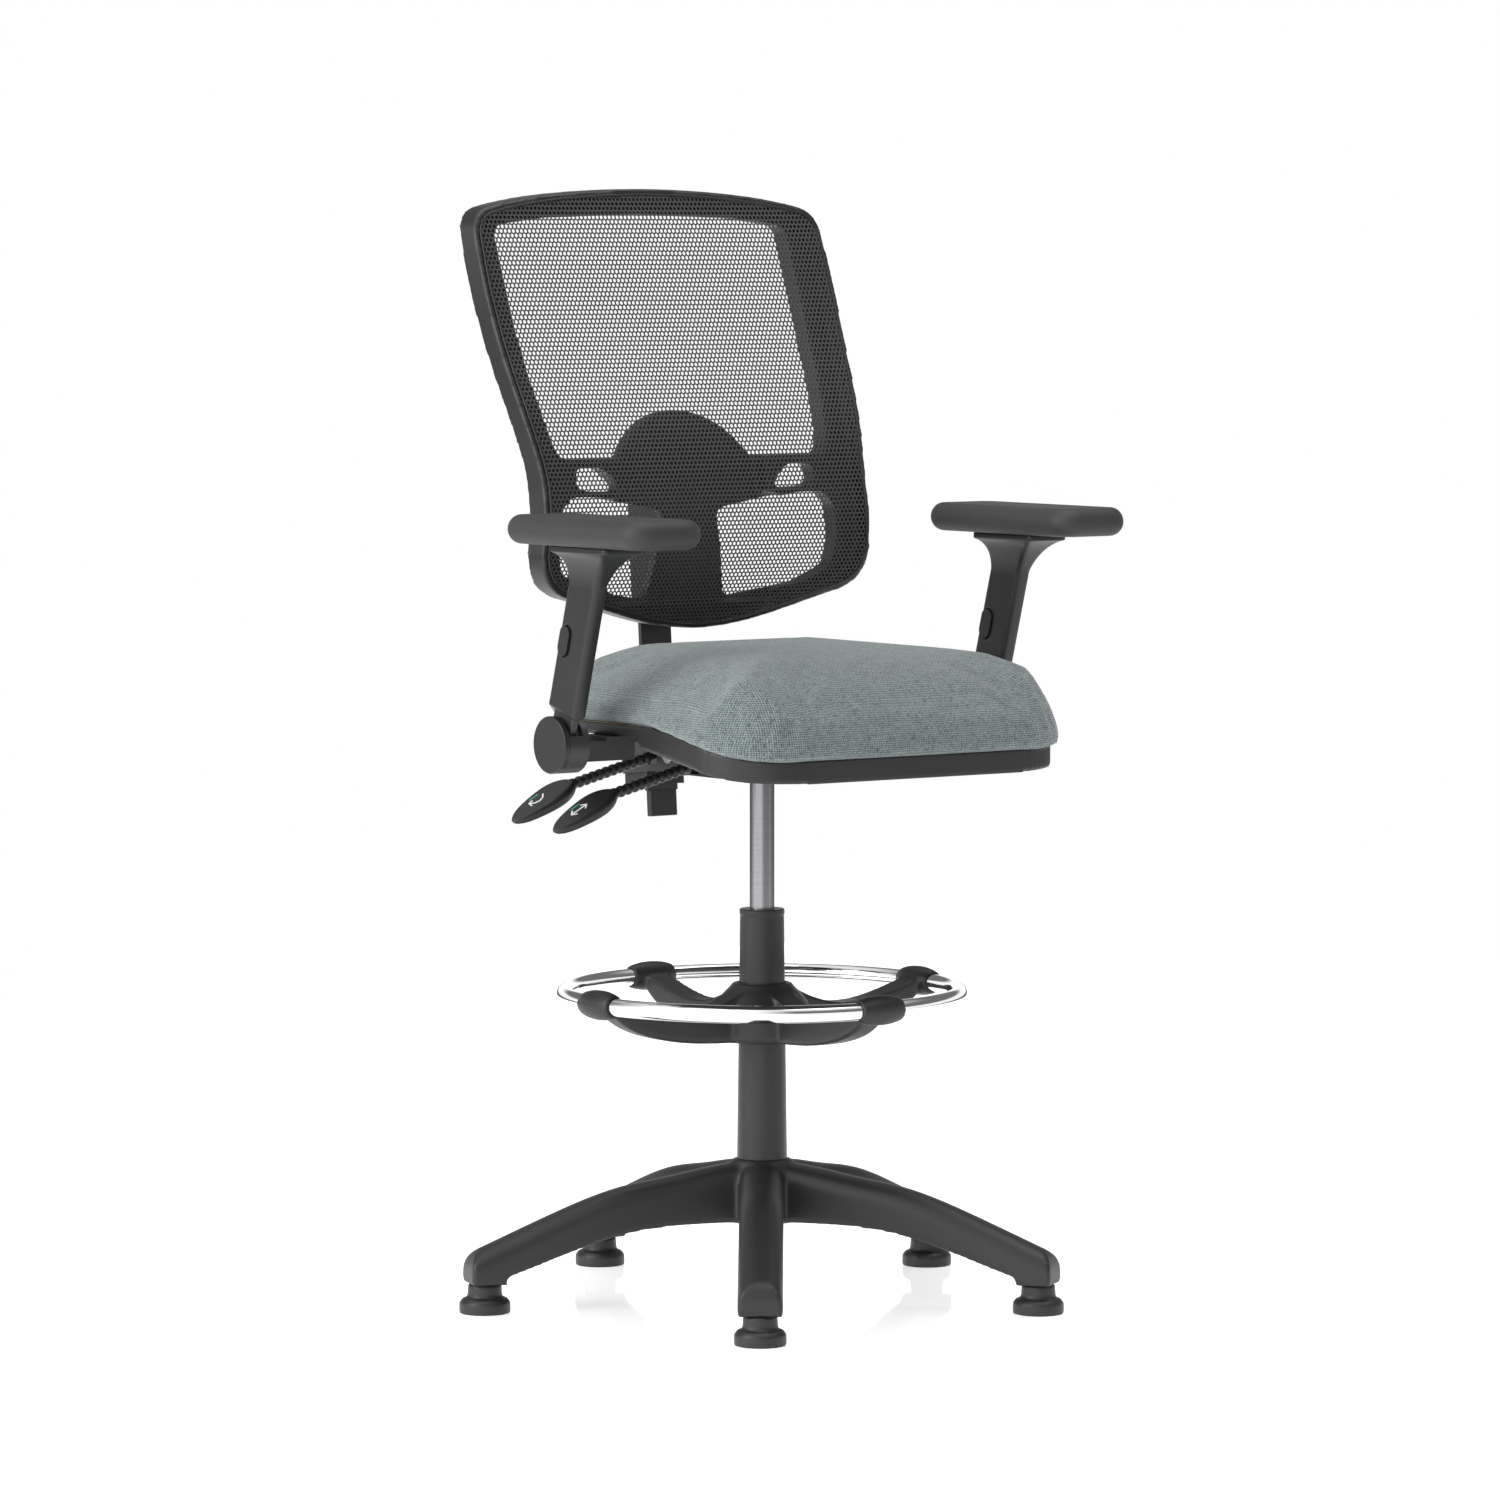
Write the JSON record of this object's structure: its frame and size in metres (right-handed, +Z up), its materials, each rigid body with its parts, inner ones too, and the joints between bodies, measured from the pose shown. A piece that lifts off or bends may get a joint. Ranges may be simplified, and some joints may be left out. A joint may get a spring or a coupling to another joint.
{
  "type": "drafting chair",
  "caption": "Drafting chair: mesh back on a reclining bar, padded seat, flip-up height-adjustable arms, gas lift, chrome foot ring and five-legged glide base.",
  "frame": {"origin": "on the floor, on the swivel axis, in the plane of the glides' undersides", "axes": "+Z up along the swivel axis, -Y to the front of the seat, +X to the sitter's left"},
  "size_m": [0.686, 0.6559, 1.2645],
  "materials": {
    "black_nylon": "satin",
    "black_frame": "satin",
    "black_steel": "satin",
    "bare_steel": "satin",
    "dark_rod": "satin",
    "chrome": "polished",
    "pad_foam": "matte",
    "soft_rubber": "matte",
    "seat_fabric": "matte",
    "mesh_fabric": "matte",
    "plywood": "matte",
    "white_plastic": "satin"
  },
  "bodies": {
    "base": {"base_star": "black_nylon", "glide_feet": "black_nylon", "glide_stems": "bare_steel", "glide_grip_rings": "bare_steel", "glide_sockets": "white_plastic", "column_tube": "black_steel", "column_shroud": "black_frame", "guide_bush": "white_plastic", "bearing_lower_race": "bare_steel", "bearing_balls": "bare_steel"},
    "foot_rest": {"foot_ring": "chrome", "ring_spider": "black_nylon"},
    "ring_clamp": {"ring_clamp_screw": "bare_steel", "ring_clamp_knob": "black_nylon"},
    "lift_rod": {"piston_rod": "bare_steel", "piston_rod_clip": "bare_steel", "bearing_upper_race": "bare_steel", "lift_buffer": "soft_rubber", "lift_piston": "white_plastic"},
    "seat": {"pressure_tube": "dark_rod", "lift_rod_seal": "soft_rubber", "seat_pan": "black_frame", "seat_board": "plywood", "seat_cushion": "seat_fabric", "seat_bolts": "bare_steel", "mechanism_housing": "black_steel", "recline_shaft": "bare_steel", "recline_shaft_clips": "bare_steel", "recline_spring": "bare_steel", "lever_pivot_pins": "bare_steel", "lever_pivot_cheeks": "black_steel", "arm_bracket_left": "black_steel", "arm_bracket_right": "black_steel", "arm_pivot_cap_left": "black_frame", "arm_pivot_cap_right": "black_frame", "arm_pivot_pins": "bare_steel"},
    "release_valve": {"release_pin": "bare_steel"},
    "height_handle": {"height_lever": "black_frame"},
    "tilt_handle": {"tilt_lever": "black_frame"},
    "back_support": {"recline_fork": "black_steel", "recline_bushes": "white_plastic", "bar_tower": "black_nylon", "bar_screws": "bare_steel", "back_bar": "black_steel", "back_bar_cap": "black_nylon"},
    "back": {"back_frame": "black_frame", "ratchet_pawl": "white_plastic", "ratchet_pawl_spring": "bare_steel", "back_mesh": "mesh_fabric", "mesh_edge_strip": "black_frame"},
    "arm_left": {"arm_blade_left": "black_steel"},
    "arm_top_left": {"arm_sleeve_left": "black_frame", "arm_pad_left": "pad_foam", "arm_pad_screws_left": "bare_steel"},
    "arm_button_left": {"arm_button_left": "black_frame"},
    "arm_right": {"arm_blade_right": "black_steel"},
    "arm_top_right": {"arm_sleeve_right": "black_frame", "arm_pad_right": "pad_foam", "arm_pad_screws_right": "bare_steel"},
    "arm_button_right": {"arm_button_right": "black_frame"}
  },
  "joints": [
    {"name": "foot_ring_height", "type": "slide", "parent": "base", "child": "foot_rest", "axis": [0, 0, 1], "range_m": [-0.055, 0.062]},
    {"name": "ring_clamp", "type": "hinge", "parent": "foot_rest", "child": "ring_clamp", "pos_m": [0, 0, 0.324], "axis": [0.5878, 0.809, 0], "range_deg": [0, 270]},
    {"name": "seat_swivel", "type": "hinge", "parent": "base", "child": "lift_rod", "pos_m": [0, 0, 0.1], "axis": [0, 0, 1], "continuous": true},
    {"name": "seat_height", "type": "slide", "parent": "lift_rod", "child": "seat", "axis": [0, 0, 1], "range_m": [-0.11, 0.122]},
    {"name": "height_lever", "type": "hinge", "parent": "seat", "child": "height_handle", "pos_m": [-0.034, 0.035, 0.6444], "axis": [0, 1, 0], "range_deg": [0, 5], "stiffness_Nm_per_rad": 8, "springref_deg": -2.29},
    {"name": "release_pin", "type": "slide", "parent": "seat", "child": "release_valve", "axis": [0, 0, 1], "range_m": [-0.003, 0]},
    {"name": "tilt_lever", "type": "hinge", "parent": "seat", "child": "tilt_handle", "pos_m": [-0.052, 0.118, 0.6215], "axis": [0, 1, 0], "range_deg": [0, 10]},
    {"name": "back_recline", "type": "hinge", "parent": "seat", "child": "back_support", "pos_m": [0, 0.085, 0.62], "axis": [-1, 0, 0], "range_deg": [-4, 16]},
    {"name": "back_height", "type": "slide", "parent": "back_support", "child": "back", "axis": [0, 0.0715, 0.9974], "range_m": [0, 0.063]},
    {"name": "arm_fold_left", "type": "hinge", "parent": "seat", "child": "arm_left", "pos_m": [0.293, -0.027, 0.649], "axis": [-1, 0, 0], "range_deg": [0, 90]},
    {"name": "arm_height_left", "type": "slide", "parent": "arm_left", "child": "arm_top_left", "axis": [0, -0.284, 0.9588], "range_m": [0, 0.065]},
    {"name": "arm_button_left", "type": "slide", "parent": "arm_top_left", "child": "arm_button_left", "axis": [1, 0, 0], "range_m": [0, 0.0018], "stiffness_N_per_m": 800, "springref_m": -0.001},
    {"name": "arm_fold_right", "type": "hinge", "parent": "seat", "child": "arm_right", "pos_m": [-0.293, -0.027, 0.649], "axis": [-1, 0, 0], "range_deg": [0, 90]},
    {"name": "arm_height_right", "type": "slide", "parent": "arm_right", "child": "arm_top_right", "axis": [0, -0.284, 0.9588], "range_m": [0, 0.065]},
    {"name": "arm_button_right", "type": "slide", "parent": "arm_top_right", "child": "arm_button_right", "axis": [1, 0, 0], "range_m": [0, 0.0018], "stiffness_N_per_m": 800, "springref_m": -0.001}
  ],
  "couplings": [
    {"joint": "release_pin", "follows": "height_lever", "m_per_rad": -0.034}
  ]
}
